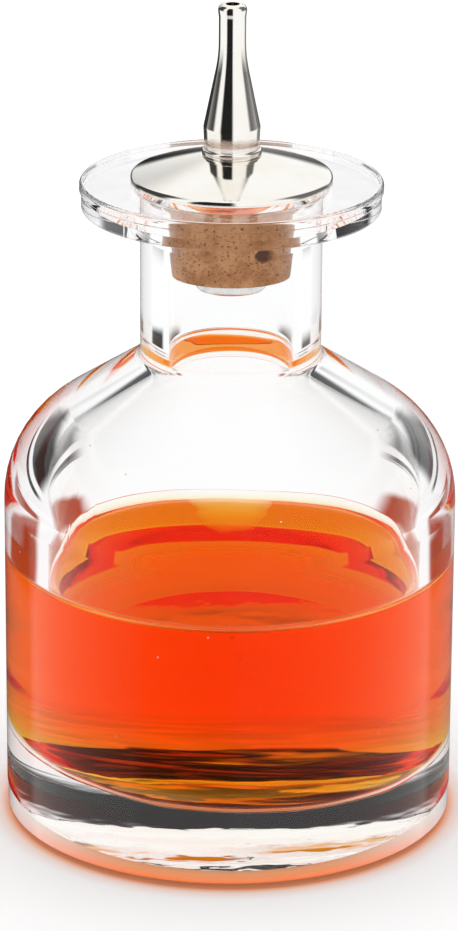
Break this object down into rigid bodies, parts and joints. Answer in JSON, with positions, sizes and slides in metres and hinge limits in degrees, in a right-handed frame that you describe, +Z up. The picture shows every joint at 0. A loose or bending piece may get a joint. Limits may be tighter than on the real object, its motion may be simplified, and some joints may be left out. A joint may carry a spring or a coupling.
{
  "type": "bitters bottle",
  "caption": "Clear glass dasher bottle, thick based and part filled with orange bitters, with a broad flanged mouth closed by a tapered cork under a domed metal disc and slender spout.",
  "frame": {"origin": "centre of the ring that the bottle stands on, on the bottle's axis", "axes": "+Z up along the bottle's axis from base to spout tip; the cavity floor leans down towards +X"},
  "size_m": [0.072, 0.072, 0.1331],
  "materials": {
    "clear_glass": "clear soda-lime glass, fire polished",
    "orange_bitters": "clear orange-red liquid",
    "natural_cork": "natural cork, matt with pits",
    "plated_metal": "polished nickel plate",
    "plain_steel": "turned steel"
  },
  "bodies": {
    "bottle": {"glass_bottle": "clear_glass", "bitters_fill": "orange_bitters"},
    "stopper": {"cork_stopper": "natural_cork", "cap_disc": "plated_metal", "dasher_spout": "plated_metal", "stem_tube": "plain_steel", "retaining_nut": "plain_steel"}
  },
  "joints": [
    {"name": "stopper_lift", "type": "slide", "parent": "bottle", "child": "stopper", "axis": [0, 0, 1], "range_m": [0, 0.04]}
  ]
}
